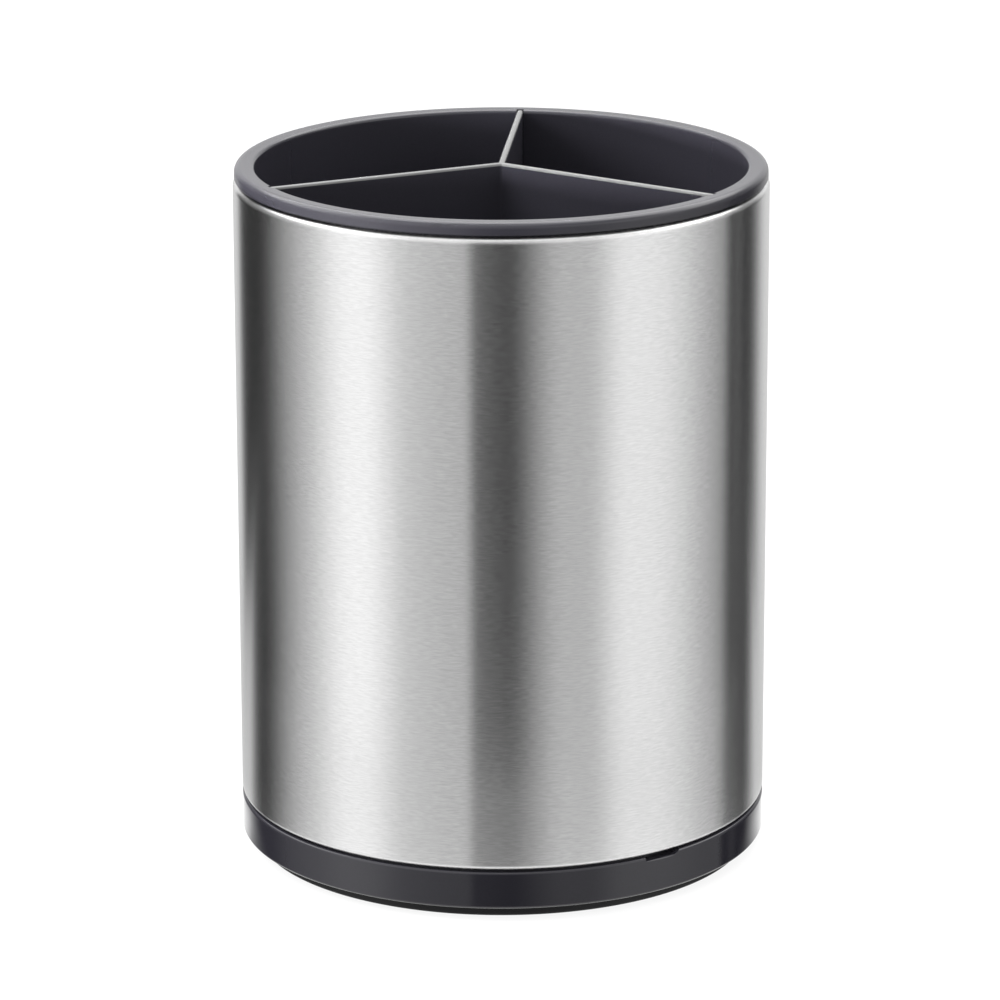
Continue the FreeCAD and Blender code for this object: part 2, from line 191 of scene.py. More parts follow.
def soft_mottle_group():
    """Slow unevenness of a finish: a value about nought that wanders over the surface."""
    tree, given, result = new_group(
        "soft_mottle", "ShaderNodeTree", [("Scale", "Float"), ("Amount", "Float")], [("Wander", "Float")])
    place = add(tree, "ShaderNodeTexCoord").outputs["Object"]
    noise = add(tree, "ShaderNodeTexNoise",
                {"Vector": place, "Scale": given["Scale"], "Detail": MOTTLE_DETAIL})
    centred = add(tree, "ShaderNodeMath", {0: noise.outputs["Fac"], 1: NOISE_MIDDLE}, operation="SUBTRACT")
    scaled = add(tree, "ShaderNodeMath", {0: centred.outputs[0], 1: given["Amount"]}, operation="MULTIPLY")
    tree.links.new(scaled.outputs[0], result["Wander"])
    return tree


def stretched_grain_group():
    """Fine grain on the object's own axes, as wide and as tall as its two scales say."""
    tree, given, result = new_group(
        "stretched_grain", "ShaderNodeTree",
        [("Scale Across", "Float"), ("Scale Up", "Float"), ("Detail", "Float")], [("Grain", "Float")])
    place = add(tree, "ShaderNodeTexCoord").outputs["Object"]
    scale = add(tree, "ShaderNodeCombineXYZ",
                {"X": given["Scale Across"], "Y": given["Scale Across"], "Z": given["Scale Up"]})
    stretched = add(tree, "ShaderNodeVectorMath", {0: place, 1: scale.outputs[0]}, operation="MULTIPLY")
    noise = add(tree, "ShaderNodeTexNoise",
                {"Vector": stretched.outputs[0], "Scale": 1.0, "Detail": given["Detail"]})
    tree.links.new(noise.outputs["Fac"], result["Grain"])
    return tree


def new_material(name):
    """Start a material that holds only its surface shader and output."""
    material = bpy.data.materials.new(name)
    material.use_nodes = True
    tree = material.node_tree
    tree.nodes.clear()
    shader = add(tree, "ShaderNodeBsdfPrincipled")
    add(tree, "ShaderNodeOutputMaterial", {"Surface": shader.outputs[0]})
    return material, tree, shader


def vary(tree, value, low, high):
    """Spread a value that runs from nought to one over a range of its own."""
    spread = add(tree, "ShaderNodeMapRange", {"Value": value, "To Min": low, "To Max": high})
    return spread.outputs["Result"]


def tinted(tree, value, dark, light):
    """Blend two tones by a value that runs from nought to one."""
    blend = add(tree, "ShaderNodeMix", {"Factor": value}, data_type="RGBA")
    blend.inputs[COLOUR_A].default_value = (*dark, 1.0)
    blend.inputs[COLOUR_B].default_value = (*light, 1.0)
    return blend.outputs[COLOUR_RESULT]


def pitted(tree, shader, grain, settings):
    """Raise a finish a little by its grain."""
    bump = add(tree, "ShaderNodeBump", {**settings, "Height": grain})
    tree.links.new(bump.outputs[0], shader.inputs["Normal"])


def brushed_steel(grain_group, mottle_group):
    """Stainless sheet, brushed round its girth, so its gloss spreads up and down."""
    material, tree, shader = new_material("brushed_steel")
    grain = add(tree, "ShaderNodeGroup", STEEL_GRAIN, node_tree=grain_group).outputs["Grain"]
    mottle = add(tree, "ShaderNodeGroup", STEEL_MOTTLE, node_tree=mottle_group).outputs["Wander"]
    tree.links.new(tinted(tree, grain, *STEEL_TONES), shader.inputs["Base Color"])
    brushed = vary(tree, grain, *STEEL_ROUGHNESS)
    rough = add(tree, "ShaderNodeMath", {0: brushed, 1: mottle}, operation="ADD")
    tree.links.new(rough.outputs[0], shader.inputs["Roughness"])
    shader.inputs["Metallic"].default_value = 1.0
    shader.inputs["Anisotropic"].default_value = 1.0
    shader.inputs["Anisotropic Rotation"].default_value = GIRTH_TURN
    girth = add(tree, "ShaderNodeTangent", direction_type="RADIAL", axis="Z")
    tree.links.new(girth.outputs[0], shader.inputs["Tangent"])
    return material


def charcoal_plastic(grain_group, mottle_group):
    """Dark charcoal plastic with a violet cast: glossy, but satin where a piece is marked so, and lightened
    by a painted highlight where a piece is marked for one.
    """
    material, tree, shader = new_material("charcoal_plastic")
    grain = add(tree, "ShaderNodeGroup", PLASTIC_GRAIN, node_tree=grain_group).outputs["Grain"]
    mottle = add(tree, "ShaderNodeGroup", PLASTIC_MOTTLE, node_tree=mottle_group).outputs["Wander"]
    base = tinted(tree, grain, *PLASTIC_TONES)
    # Painted highlight: where the blade tops are marked, the colour is blended towards a light tone
    edge = add(tree, "ShaderNodeAttribute", attribute_name="painted_highlight_edge").outputs["Fac"]
    highlighted = add(tree, "ShaderNodeMix",
                {"Factor": edge, COLOUR_A: base, COLOUR_B: PAINTED_HIGHLIGHT_TONE}, data_type="RGBA")
    tree.links.new(highlighted.outputs[COLOUR_RESULT], shader.inputs["Base Color"])
    satin = add(tree, "ShaderNodeAttribute", attribute_name="satin").outputs["Fac"]
    duller = vary(tree, satin, *GLOSS_TO_SATIN)
    rough = add(tree, "ShaderNodeMath", {0: mottle, 1: duller}, operation="ADD")
    tree.links.new(rough.outputs[0], shader.inputs["Roughness"])
    pitted(tree, shader, grain, PLASTIC_BUMP)
    shader.inputs["IOR"].default_value = PLASTIC_IOR
    return material


def foot_rubber(grain_group, mottle_group):
    """Soft dark rubber, matte and finely pitted."""
    material, tree, shader = new_material("foot_rubber")
    grain = add(tree, "ShaderNodeGroup", RUBBER_GRAIN, node_tree=grain_group).outputs["Grain"]
    mottle = add(tree, "ShaderNodeGroup", RUBBER_MOTTLE, node_tree=mottle_group).outputs["Wander"]
    tree.links.new(tinted(tree, grain, *RUBBER_TONES), shader.inputs["Base Color"])
    rough = add(tree, "ShaderNodeMath", {0: mottle, 1: RUBBER_ROUGHNESS}, operation="ADD")
    tree.links.new(rough.outputs[0], shader.inputs["Roughness"])
    pitted(tree, shader, grain, RUBBER_BUMP)
    shader.inputs["Specular IOR Level"].default_value = RUBBER_SPECULAR
    return material


# Node trees that shape the pieces

def close_tree(tree, given, result, geometry):
    """End a tree: crease its sharp edges, make its copies real and give it its finish."""
    angle = add(tree, "GeometryNodeInputMeshEdgeAngle").outputs["Unsigned Angle"]
    gentle = add(tree, "FunctionNodeCompare", {"A": angle, "B": given["Crease Angle"]},
                 data_type="FLOAT", operation="LESS_THAN").outputs["Result"]
    real = add(tree, "GeometryNodeRealizeInstances", {"Geometry": geometry}).outputs[0]
    faces = add(tree, "GeometryNodeSetShadeSmooth", {0: real, "Shade Smooth": True}, domain="FACE")
    edges = add(tree, "GeometryNodeSetShadeSmooth",
                {0: faces.outputs[0], "Shade Smooth": gentle}, domain="EDGE")
    finished = add(tree, "GeometryNodeSetMaterial",
                   {"Geometry": edges.outputs[0], "Material": given["Finish"]})
    tree.links.new(finished.outputs[0], result["Geometry"])


def turned_section_tree():
    """Round each corner of a section by its own radius, then turn the section about the upright axis."""
    tree, given, result = new_group(
        "turned_section", "GeometryNodeTree",
        [("Geometry", "Geometry"), ("Turning Radius", "Float"), ("Turn Steps", "Int"),
         ("Corner Steps", "Int"), ("Weld", "Float"), ("Crease Angle", "Float"), ("Finish", "Material")],
        [("Geometry", "Geometry")])
    corner = add(tree, "GeometryNodeInputNamedAttribute", {"Name": "corner_round"}, data_type="FLOAT")
    line = add(tree, "GeometryNodeMeshToCurve", {"Mesh": given["Geometry"]})
    section = add(tree, "GeometryNodeFilletCurve",
                  {"Curve": line.outputs[0], "Count": given["Corner Steps"],
                   "Radius": corner.outputs["Attribute"], "Limit Radius": True}, mode="POLY")
    circle = add(tree, "GeometryNodeCurvePrimitiveCircle",
                 {"Resolution": given["Turn Steps"], "Radius": given["Turning Radius"]})
    turned = add(tree, "GeometryNodeCurveToMesh",
                 {"Curve": circle.outputs["Curve"], "Profile Curve": section.outputs[0]})
    welded = add(tree, "GeometryNodeMergeByDistance",
                 {"Geometry": turned.outputs[0], "Distance": given["Weld"]})
    close_tree(tree, given, result, welded.outputs[0])
    return tree


def copies_round(tree, given, copied):
    """Set copies of a shape at even angles about the upright axis."""
    index = add(tree, "GeometryNodeInputIndex").outputs[0]
    step = add(tree, "ShaderNodeMath", {0: 2 * math.pi, 1: given["Count"]}, operation="DIVIDE").outputs[0]
    angle = add(tree, "ShaderNodeMath", {0: index, 1: step, 2: given["First Angle"]},
                operation="MULTIPLY_ADD").outputs[0]
    turn = add(tree, "ShaderNodeCombineXYZ", {"Z": angle}).outputs[0]
    points = add(tree, "GeometryNodePoints", {"Count": given["Count"]}).outputs[0]
    copies = add(tree, "GeometryNodeInstanceOnPoints",
                 {"Points": points, "Instance": copied, "Rotation": turn})
    return add(tree, "GeometryNodeRealizeInstances", {"Geometry": copies.outputs[0]}).outputs[0]


def cut_round_tree():
    """Cut copies of a tool, at even angles about the upright axis, out of a piece."""
    tree, given, result = new_group(
        "cut_round", "GeometryNodeTree",
        [("Geometry", "Geometry"), ("Tool", "Object"), ("Count", "Int"), ("First Angle", "Float"),
         ("Crease Angle", "Float"), ("Finish", "Material")], [("Geometry", "Geometry")])
    tool = add(tree, "GeometryNodeObjectInfo", {"Object": given["Tool"]}).outputs["Geometry"]
    cut = add(tree, "GeometryNodeMeshBoolean", {"Mesh 1": given["Geometry"]},
              operation="DIFFERENCE", solver="MANIFOLD")
    tree.links.new(copies_round(tree, given, tool), cut.inputs["Mesh 2"])
    close_tree(tree, given, result, cut.outputs["Mesh"])
    return tree


def repeat_round_tree():
    """Set copies of a part of a piece round the upright axis and weld them where they meet."""
    tree, given, result = new_group(
        "repeat_round", "GeometryNodeTree",
        [("Geometry", "Geometry"), ("Count", "Int"), ("First Angle", "Float"), ("Weld", "Float"),
         ("Crease Angle", "Float"), ("Finish", "Material")], [("Geometry", "Geometry")])
    copies = copies_round(tree, given, given["Geometry"])
    welded = add(tree, "GeometryNodeMergeByDistance", {"Geometry": copies, "Distance": given["Weld"]})
    close_tree(tree, given, result, welded.outputs[0])
    return tree


def grow(name, seed, recipes):
    """Run a piece's first mesh through its node trees and keep the plain mesh that comes out."""
    piece = bpy.data.objects.new(name, seed)
    bpy.context.collection.objects.link(piece)
    for tree, values in recipes:
        modifier = piece.modifiers.new(tree.name, "NODES")
        modifier.node_group = tree
        for item in tree.interface.items_tree:
            if item.in_out == "INPUT" and item.name in values:
                modifier[item.identifier] = values[item.name]
    graph = bpy.context.evaluated_depsgraph_get()
    mesh = bpy.data.meshes.new_from_object(piece.evaluated_get(graph))
    piece.modifiers.clear()
    piece.data = mesh
    mesh.name = name
    return piece


# First meshes

def held_corners(corners, closed):
    """Add a point beside each rounded corner, so that the faces next to it keep their own shading."""
    held = []
    last = len(corners) - 1
    for index, (radius, height, bend) in enumerate(corners):
        here = Vector((radius, height))
        following = corners[(index + 1) % len(corners)]
        sides = [Vector(corners[index - 1][:2]) - here, Vector(following[:2]) - here]
        points = [None, None]
        if bend and (closed or 0 < index < last):
            reach = bend / math.tan(sides[0].angle(sides[1]) / 2) + HOLD
            for place, side in enumerate(sides):
                if 2 * reach < side.length:
                    points[place] = (*(here + side.normalized() * reach), 0.0)
        held.extend(point for point in (points[0], (radius, height, bend), points[1]) if point)
    return held


def section_mesh(name, corners, closed=True):
    """Draw a section, given from the axis outwards along its underside and back along its top."""
    held = held_corners(corners, closed)
    held.reverse()
    links = [(index, index + 1) for index in range(len(held) - 1)]
    if closed:
        links.append((len(held) - 1, 0))
    mesh = bpy.data.meshes.new(name)
    mesh.from_pydata([(radius - OUTER, -height, 0.0) for radius, height, _ in held], links, [])
    rounds = mesh.attributes.new("corner_round", "FLOAT", "POINT")
    rounds.data.foreach_set("value", [bend for _, _, bend in held])
    return mesh


def skinned_mesh(name, rings):
    """Skin a row of closed rings of equal count and cap both ends."""
    skin = bmesh.new()
    rows = [[skin.verts.new(point) for point in ring] for ring in rings]
    for lower, upper in zip(rows, rows[1:]):
        for index in range(len(lower)):
            skin.faces.new((lower[index - 1], lower[index], upper[index], upper[index - 1]))
    skin.faces.new(rows[0][::-1])
    skin.faces.new(rows[-1])
    bmesh.ops.recalc_face_normals(skin, faces=skin.faces)
    mesh = bpy.data.meshes.new(name)
    skin.to_mesh(mesh)
    skin.free()
    return mesh


def tool_object(name, rings):
    """A cutting tool, which is removed once the piece is cut."""
    tool = bpy.data.objects.new(name, skinned_mesh(name, rings))
    bpy.context.collection.objects.link(tool)
    tool.hide_render = True
    return tool


# Sections of the turned pieces, as radius, height and corner round

def foot_section():
    """Foot ring, with the tongue that plugs into the tray."""
    inner = foot_high.x - FOOT_WIDTH
    return [
        (inner, 0.0, FOOT_EDGE), (foot_high.x, 0.0, FOOT_EDGE), (foot_high.x, tray_low.z, 0.0),
        (foot_high.x - TONGUE_INSET, tray_low.z, 0.0), (foot_high.x - TONGUE_INSET, foot_high.z, 0.0),
        (inner + TONGUE_INSET, foot_high.z, 0.0), (inner + TONGUE_INSET, tray_low.z, 0.0),
        (inner, tray_low.z, 0.0)]


def tray_section():
    """Drip tray: tongue groove, visible band, seat and spigot for the sleeve, and dish."""
    base = tray_low.z
    groove_inner = foot_high.x - FOOT_WIDTH + TONGUE_INSET - TONGUE_CLEARANCE
    groove_outer = foot_high.x - TONGUE_INSET + TONGUE_CLEARANCE
    groove_top = foot_high.z + TONGUE_CLEARANCE
    ring_top = base + RING_HEIGHT
    spigot = OUTER - SPIGOT_INSET
    channel = OUTER - RING_WALL
    floor_top = base + TRAY_FLOOR
    return [
        (0.0, base, 0.0), (groove_inner, base, 0.0), (groove_inner, groove_top, 0.0),
        (groove_outer, groove_top, 0.0), (groove_outer, base, 0.0), (spigot, base, 0.0),
        (spigot, base + CHANNEL_ROOF, 0.0), (channel, base + CHANNEL_ROOF, 0.0), (channel, base, 0.0),
        (OUTER, base, RING_EDGE), (OUTER, ring_top, RING_EDGE), (spigot + SEAT_WIDTH, ring_top, 0.0),
        (spigot + SEAT_WIDTH, sleeve_low.z, 0.0), (spigot, sleeve_low.z, 0.0),
        (spigot, tray_high.z, SPIGOT_EDGE), (spigot - SPIGOT_WALL, tray_high.z, SPIGOT_EDGE),
        (spigot - SPIGOT_WALL, floor_top, TRAY_CORNER), (0.0, floor_top, 0.0)]


def sleeve_section():
    """Steel sheet, turned in as a lip at both ends."""
    low, high = sleeve_low.z, sleeve_high.z
    lip = OUTER - LIP_WIDTH
    inside = OUTER - SHEET
    return [
        (lip, low, 0.0), (OUTER, low, FOOT_BEND), (OUTER, high, BEND), (lip, high, 0.0),
        (lip, high - SHEET, 0.0), (inside, high - SHEET, BEND - SHEET),
        (inside, low + SHEET, FOOT_BEND - SHEET), (lip, low + SHEET, 0.0)]


def cup_section():
    """Cup: leaning wall, floor, and a rim that rests on the sleeve."""
    seat = sleeve_high.z
    rim = cup_high.x
    rim_top = cup_high.z - RIM_DROP
    floor_top = cup_low.z + CUP_FLOOR
    wall = OUTER - CUP_INSET
    wall_foot = wall - CUP_LEAN * (seat - cup_low.z)
    mouth = wall - CUP_WALL
    mouth_foot = mouth - CUP_LEAN * (rim_top - MOUTH_DROP - floor_top)
    return [
        (0.0, cup_low.z, 0.0), (wall_foot, cup_low.z, CUP_CORNER + CUP_FLOOR), (wall, seat, 0.0),
        (OUTER - RIM_SEAT, seat, 0.0), (OUTER - RIM_SEAT, seat + RIM_GAP, 0.0),
        (rim, seat + RIM_GAP, RIM_EDGE), (rim - RIM_LEAN, rim_top, SHOULDER),
        (rim - RIM_LEAN - SHOULDER - CREST_WIDTH, rim_top, CREST_ROUND),
        (mouth, rim_top - MOUTH_DROP, MOUTH_EDGE), (mouth_foot, floor_top, CUP_CORNER), (0.0, floor_top, 0.0)]


# Tools that cut the turned pieces, each drawn along the X axis

def drain_slot_tool():
    """A round-ended slot through the cup's floor, flared at both faces."""
    base = cup_low.z
    top = base + CUP_FLOOR
    levels = [(base - SLOT_FLARE, 2 * SLOT_FLARE), (base + SLOT_FLARE, 0.0), (top - SLOT_FLARE, 0.0),
              (top + SLOT_FLARE, 2 * SLOT_FLARE)]
    start = SLOT_START + SLOT_WIDTH / 2
    end = SLOT_END - SLOT_WIDTH / 2
    rings = []
    for height, flare in levels:
        ring = []
        for step in range(2 * CORNER_STEPS + 2):
            at_end = step <= CORNER_STEPS
            arc_step = step if at_end else step - 1
            angle = math.pi * arc_step / CORNER_STEPS - math.pi / 2
            centre = end if at_end else start
            radius = SLOT_WIDTH / 2 + flare
            ring.append(Vector((centre + radius * math.cos(angle), radius * math.sin(angle), height)))
        rings.append(ring)
    return tool_object("drain_slot_tool", rings)


def blade_groove_tool():
    """An upright slot for a blade's end, leaning out with the cup's wall and open at the rim."""
    half = GROOVE_WIDTH / 2
    inner = BLADE_END - CUP_WALL
    rings = []
    for height in (divider_low.z, cup_high.z + GROOVE_OVERSHOOT):
        end = BLADE_END + GROOVE_END_GAP + CUP_LEAN * (height - divider_low.z)
        rings.append([Vector((reach, side, height))
                      for reach, side in ((inner, -half), (end, -half), (end, half), (inner, half))])
    return tool_object("blade_groove_tool", rings)


def lifting_notch_tool():
    """A notch in the top of the tray's ring, with one slanted end and a flared outer edge."""
    top = tray_low.z + RING_HEIGHT
    low = top - NOTCH_DEPTH
    high = sleeve_low.z + NOTCH_FLARE
    half = NOTCH_WIDTH / 2
    rings = []
    for reach, flare in ((OUTER - SPIGOT_INSET, 0.0), (OUTER - NOTCH_FLARE, 0.0),
                         (OUTER + NOTCH_FLARE, 2 * NOTCH_FLARE)):
        end = half + flare
        rings.append([Vector((reach, side, height)) for side, height in
                      ((-end, low - flare), (end - NOTCH_SLANT, low - flare), (end, top), (end, high),
                       (-end, high))])
    return tool_object("lifting_notch_tool", rings)


def divider_corner_mesh():
    """One compartment's corner of the divider: the facing halves of two blades and the hub between them."""
    turn = 2 * math.pi / BLADE_COUNT
    levels = [(divider_low.z, 0.0), (divider_low.z + HOLD, 0.0), (divider_high.z - BLADE_ROUND - HOLD, 0.0)]
    for step in range(CORNER_STEPS + 1):
        angle = math.pi / 2 * step / CORNER_STEPS
        fall = BLADE_ROUND * (1 - math.sin(angle))
        levels.append((divider_high.z - fall, BLADE_ROUND * (1 - math.cos(angle))))
    skin = bmesh.new()
    pale = skin.verts.layers.float.new("painted_highlight_edge")
    rows = []
    for height, inset in levels:
        half = BLADE_THICKNESS / 2 - inset
        hub = HUB_CORNER + inset
        end = BLADE_END + CUP_LEAN * (height - divider_low.z) - inset
        centre = Vector(((half + hub) / math.tan(turn / 2), half + hub))
        points = [Vector((end, 0.0)), Vector((end, half)), Vector((end - HOLD, half)),
                  centre - Vector((-HOLD, hub))]
        for step in range(CORNER_STEPS // 2 + 1):
            angle = -math.pi / 2 - (math.pi - turn) * step / CORNER_STEPS
            points.append(centre + hub * Vector((math.cos(angle), math.sin(angle))))
        facing = Matrix(((math.cos(turn), math.sin(turn)), (math.sin(turn), -math.cos(turn))))
        points += [facing @ point for point in reversed(points[:-1])]
        rows.append([skin.verts.new((*point, height)) for point in points])
        # Mark the rounded tops of the blades for the painted highlight
        for vertex in rows[-1]:
            vertex[pale] = height > divider_high.z - BLADE_ROUND
    for lower, upper in zip(rows, rows[1:]):
        for index in range(1, len(lower)):
            skin.faces.new((lower[index], lower[index - 1], upper[index - 1], upper[index]))
    foot = skin.verts.new((0.0, 0.0, divider_low.z))
    crown = skin.verts.new((0.0, 0.0, divider_high.z))
    # The hub's top is marked for the painted highlight too
    crown[pale] = 1.0
    skin.faces.new([*rows[0], foot])
    skin.faces.new([*rows[-1][::-1], crown])
    mesh = bpy.data.meshes.new("divider")
    skin.to_mesh(mesh)
    skin.free()
    return mesh


# Studio

HALF_TURN = 180.0
FLOOR_SIZE = 8.0

# Soft lights by where they stand, in degrees to the right of the camera and above the floor
SOFTBOX_SETTINGS = (
    "Centre", "Half Width", "Left Feather", "Right Feather",
    "Lowest", "Highest", "Upright Feather", "Strength")
SOFTBOXES = {
    "left_panel": (-54.0, 38.0, 33.0, 5.0, -60.0, 40.0, 14.0, 0.63),
    "left_panel_edge": (-52.0, 40.0, 36.0, 18.0, -60.0, 40.0, 14.0, 0.10),
    "left_swell": (-66.0, 2.0, 26.0, 48.0, -60.0, 40.0, 14.0, 0.36),
    "left_glow": (-66.0, 3.0, 34.0, 22.0, -60.0, 40.0, 14.0, 0.54),
    "right_panel": (68.5, 40.5, 26.0, 6.0, -60.0, 30.0, 12.0, 0.52),
    "right_swell": (45.0, 17.0, 26.0, 45.0, -60.0, 30.0, 12.0, 0.23),
    "right_glow": (61.0, 5.0, 19.0, 50.0, -60.0, 30.0, 12.0, 0.63),
    "right_strip": (121.0, 1.0, 3.0, 5.0, -60.0, 30.0, 12.0, 0.10),
    "backdrop": (180.0, 25.0, 22.0, 7.0, -60.0, 16.0, 20.0, 0.95),
    "backdrop_top": (180.0, 60.0, 30.0, 30.0, 4.0, 30.0, 6.0, 0.35),
    "overhead": (0.0, 181.0, 1.0, 1.0, 74.0, 91.0, 26.0, 2.1),
    "overhead_back": (180.0, 70.0, 40.0, 40.0, 34.0, 74.0, 10.0, 4.8),
    "upper_front": (0.0, 60.0, 40.0, 40.0, 24.0, 60.0, 18.0, 0.8),
}
ROOM_LEVEL = 0.01


def softbox_group():
    """One soft light: a patch of the surroundings with feathered sides."""
    tree, given, result = new_group(
        "softbox", "ShaderNodeTree",
        [(label, "Float") for label in ("Azimuth", "Elevation", *SOFTBOX_SETTINGS)], [("Light", "Float")])

    def worked(first, second, operation):
        return add(tree, "ShaderNodeMath", {0: first, 1: second}, operation=operation).outputs[0]

    def ramp(value, start, end):
        return add(tree, "ShaderNodeMapRange", {"Value": value, "From Min": start, "From Max": end},
                   interpolation_type="SMOOTHSTEP").outputs["Result"]

    turned = worked(given["Azimuth"], given["Centre"], "SUBTRACT")
    away = add(tree, "ShaderNodeMath", {0: turned, 1: HALF_TURN, 2: -HALF_TURN}, operation="WRAP").outputs[0]
    feather = given["Upright Feather"]
    left_edge = worked(given["Half Width"], -1.0, "MULTIPLY")
    left = ramp(away, worked(left_edge, given["Left Feather"], "SUBTRACT"), left_edge)
    right = ramp(away, worked(given["Half Width"], given["Right Feather"], "ADD"), given["Half Width"])
    low = ramp(given["Elevation"], worked(given["Lowest"], feather, "SUBTRACT"), given["Lowest"])
    high = ramp(given["Elevation"], worked(given["Highest"], feather, "ADD"), given["Highest"])
    across = worked(left, right, "MULTIPLY")
    up = worked(low, high, "MULTIPLY")
    light = worked(worked(across, up, "MULTIPLY"), given["Strength"], "MULTIPLY")
    tree.links.new(light, result["Light"])
    return tree


def light_studio():
    """Light everything from a world of soft lights, and show plain white behind the object."""
    world = bpy.data.worlds.new("studio")
    bpy.context.scene.world = world
    world.use_nodes = True
    tree = world.node_tree
    tree.nodes.clear()
    direction = add(tree, "ShaderNodeTexCoord").outputs["Generated"]
    part = add(tree, "ShaderNodeSeparateXYZ", {0: direction}).outputs
    ahead = add(tree, "ShaderNodeMath", {0: part["Y"], 1: -1.0}, operation="MULTIPLY").outputs[0]
    round_angle = add(tree, "ShaderNodeMath", {0: part["X"], 1: ahead}, operation="ARCTAN2").outputs[0]
    azimuth = add(tree, "ShaderNodeMath", {0: round_angle}, operation="DEGREES").outputs[0]
    up_angle = add(tree, "ShaderNodeMath", {0: part["Z"]}, operation="ARCSINE").outputs[0]
    elevation = add(tree, "ShaderNodeMath", {0: up_angle}, operation="DEGREES").outputs[0]
    group = softbox_group()
    light = ROOM_LEVEL
    for name, settings in SOFTBOXES.items():
        wires = {"Azimuth": azimuth, "Elevation": elevation, **dict(zip(SOFTBOX_SETTINGS, settings))}
        box = add(tree, "ShaderNodeGroup", wires, node_tree=group, name=name)
        light = add(tree, "ShaderNodeMath", {0: box.outputs[0], 1: light}, operation="ADD").outputs[0]
    seen = add(tree, "ShaderNodeLightPath").outputs["Is Camera Ray"]
    strength = add(tree, "ShaderNodeMix", {"Factor": seen, "A": light, "B": 1.0}, data_type="FLOAT")
    shader = add(tree, "ShaderNodeBackground", {"Strength": strength.outputs[0]})
    add(tree, "ShaderNodeOutputWorld", {"Surface": shader.outputs[0]})


# Lamps near the object, which light the top more than the base: place, size, spread in degrees, power
LAMPS = {
    "side_lamp": ((-0.40, -0.06, 0.36), 0.20, 180.0, 1.7),
    "rim_lamp": ((-0.70, -0.49, 0.20), 0.10, 16.0, 0.125),
}


def hang_lamps():
    """Aim the lamps at the rim, and keep them out of the gloss."""
    for name, (place, size, spread, power) in LAMPS.items():
        data = bpy.data.lights.new(name, "AREA")
        data.size = size
        data.spread = math.radians(spread)
        data.energy = power
        lamp = bpy.data.objects.new(name, data)
        bpy.context.collection.objects.link(lamp)
        aim = Vector((0.0, 0.0, cup_high.z)) - Vector(place)
        lamp.matrix_world = Matrix.Translation(place) @ aim.to_track_quat("-Z", "Y").to_matrix().to_4x4()
        lamp.visible_glossy = False


# Floor: its tones, how far it is lifted for the camera, and its level in gloss from near to far
FLOOR_TONE = (0.18, 0.18, 0.18, 1.0)
SEEN_FLOOR_TONE = (0.12, 0.12, 0.12, 1.0)
SEEN_FLOOR_LIFT = 0.89
GLOSS_FLOOR_LIFT = (1.45, 0.75)

# Where the floor shows in gloss, in metres, and how flatly it is seen there, from nought to one
BACK_SPREAD = 1.2
BACK_EDGE = (0.080, 0.105)
BACK_REACH = (0.21, 0.30)
BACK_FRONT = (0.010, 0.030)
EDGE_REACH = (0.072, 0.085)
NEAR_REACH = (0.10, 0.14)
STEEP = (0.40, 0.60)


def lay_floor():
    """A pale floor that keeps a soft shadow, lifted to white where the camera sees it."""
    half = FLOOR_SIZE / 2
    mesh = bpy.data.meshes.new("floor")
    mesh.from_pydata([(-half, -half, 0.0), (half, -half, 0.0), (half, half, 0.0), (-half, half, 0.0)], [],
                     [(0, 1, 2, 3)])
    floor = bpy.data.objects.new("floor", mesh)
    bpy.context.collection.objects.link(floor)
    material = bpy.data.materials.new("floor")
    material.use_nodes = True
    tree = material.node_tree
    tree.nodes.clear()
    path = add(tree, "ShaderNodeLightPath").outputs
    matte = add(tree, "ShaderNodeBsdfDiffuse", {"Color": FLOOR_TONE})
    seen_matte = add(tree, "ShaderNodeBsdfDiffuse", {"Color": SEEN_FLOOR_TONE})
    lift = add(tree, "ShaderNodeEmission", {"Strength": SEEN_FLOOR_LIFT})
    seen = add(tree, "ShaderNodeAddShader", {0: seen_matte.outputs[0], 1: lift.outputs[0]})
    place = add(tree, "ShaderNodeTexCoord").outputs["Object"]
    part = add(tree, "ShaderNodeSeparateXYZ", {0: place}).outputs
    away = add(tree, "ShaderNodeVectorMath", {0: place}, operation="LENGTH").outputs["Value"]
    facing = add(tree, "ShaderNodeLayerWeight").outputs["Facing"]
    aside = add(tree, "ShaderNodeMath", {0: part["X"]}, operation="ABSOLUTE").outputs[0]
    ahead = add(tree, "ShaderNodeMath", {0: part["Y"], 1: -1.0}, operation="MULTIPLY").outputs[0]
    outside = add(tree, "ShaderNodeMath", {0: aside, 1: BACK_SPREAD, 2: ahead},
                  operation="MULTIPLY_ADD").outputs[0]

    def past(value, limits):
        return add(tree, "ShaderNodeMapRange", {"Value": value, "From Min": limits[0], "From Max": limits[1]},
                   interpolation_type="SMOOTHSTEP").outputs["Result"]

    def either(first, second):
        return add(tree, "ShaderNodeMath", {0: first, 1: second}, operation="MAXIMUM").outputs[0]

    off_back = either(either(past(outside, BACK_EDGE), past(ahead, BACK_FRONT)), past(away, BACK_REACH))
    off_near = either(past(away, NEAR_REACH), past(facing, STEEP))
    far = add(tree, "ShaderNodeMath", {0: off_back, 1: off_near}, operation="MINIMUM").outputs[0]
    level = vary(tree, past(away, EDGE_REACH), *GLOSS_FLOOR_LIFT)
    clear = add(tree, "ShaderNodeBsdfTransparent")
    bright = add(tree, "ShaderNodeEmission", {"Strength": level})
    mirrored = add(tree, "ShaderNodeMixShader", {0: far, 1: bright.outputs[0], 2: clear.outputs[0]})
    lit = add(tree, "ShaderNodeMixShader",
              {0: path["Is Glossy Ray"], 1: matte.outputs[0], 2: mirrored.outputs[0]})
    both = add(tree, "ShaderNodeMixShader", {0: path["Is Camera Ray"], 1: lit.outputs[0], 2: seen.outputs[0]})
    add(tree, "ShaderNodeOutputMaterial", {"Surface": both.outputs[0]})
    mesh.materials.append(material)


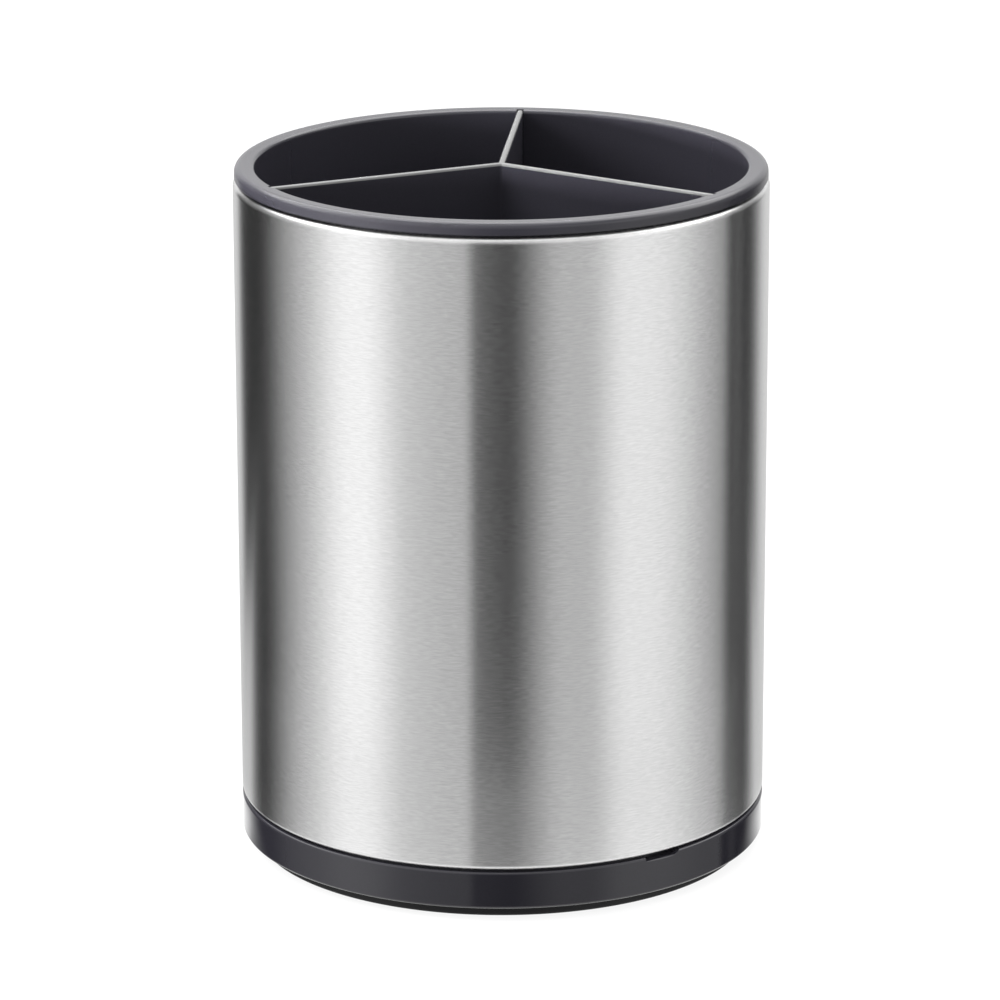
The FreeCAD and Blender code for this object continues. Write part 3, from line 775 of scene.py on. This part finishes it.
def place_camera():
    """Stand the camera where the photo was taken from."""
    data = bpy.data.cameras.new("camera")
    data.sensor_width = SENSOR
    data.lens = FOCAL_PIXELS / PHOTO_PIXELS * SENSOR
    camera = bpy.data.objects.new("camera", data)
    bpy.context.collection.objects.link(camera)
    tilt = Matrix.Rotation(math.pi / 2 - CAMERA_PITCH, 4, "X") @ Matrix.Rotation(CAMERA_ROLL, 4, "Z")
    camera.matrix_world = Matrix.Translation(CAMERA_PLACE) @ tilt
    bpy.context.scene.camera = camera


def build_pieces():
    """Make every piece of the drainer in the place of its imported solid."""
    grain = stretched_grain_group()
    mottle = soft_mottle_group()
    steel = brushed_steel(grain, mottle)
    plastic = charcoal_plastic(grain, mottle)
    rubber = foot_rubber(grain, mottle)
    turned_tree = turned_section_tree()
    cut_tree = cut_round_tree()
    repeat_tree = repeat_round_tree()

    def turned(finish):
        return turned_tree, {"Turning Radius": OUTER, "Turn Steps": TURN_STEPS, "Corner Steps": CORNER_STEPS,
                             "Weld": WELD, "Crease Angle": CREASE, "Finish": finish}

    def cut(tool, count, first_angle):
        return cut_tree, {"Tool": tool, "Count": count, "First Angle": first_angle, "Crease Angle": CREASE,
                          "Finish": plastic}

    slot = drain_slot_tool()
    groove = blade_groove_tool()
    notch = lifting_notch_tool()
    slot_angle = BLADE_ANGLE + math.pi / SLOT_COUNT
    repeated = (repeat_tree, {"Count": BLADE_COUNT, "First Angle": BLADE_ANGLE, "Weld": WELD,
                              "Crease Angle": CREASE, "Finish": plastic})
    foot = grow("foot_ring_look", section_mesh("foot_section", foot_section()), [turned(rubber)])
    tray = grow("drip_tray_look", section_mesh("tray_section", tray_section(), closed=False),
                [turned(plastic), cut(notch, NOTCH_COUNT, NOTCH_ANGLE)])
    sleeve = grow("steel_sleeve_look", section_mesh("sleeve_section", sleeve_section()), [turned(steel)])
    cup = grow("insert_cup_look", section_mesh("cup_section", cup_section(), closed=False),
               [turned(plastic), cut(slot, SLOT_COUNT, slot_angle), cut(groove, BLADE_COUNT, BLADE_ANGLE)])
    divider = grow("divider_look", divider_corner_mesh(), [repeated])
    for piece in (cup, divider):
        satin = piece.data.attributes.new("satin", "FLOAT", "POINT")
        satin.data.foreach_set("value", [1.0] * len(piece.data.vertices))
    for tool in (slot, groove, notch):
        bpy.data.objects.remove(tool)
    for piece, body, node, slot_name in (
            (foot, "base", "foot_ring", "foot_rubber"),
            (tray, "base", "drip_tray", "charcoal_plastic"),
            (sleeve, "sleeve", "steel_sleeve", "brushed_steel"),
            (cup, "insert", "insert_cup", "charcoal_plastic"),
            (divider, "divider", "divider", "charcoal_plastic")):
        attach(piece, body)
        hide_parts(node)


bpy.context.scene.view_settings.view_transform = "Standard"
place_camera()
light_studio()
hang_lamps()
lay_floor()
build_pieces()
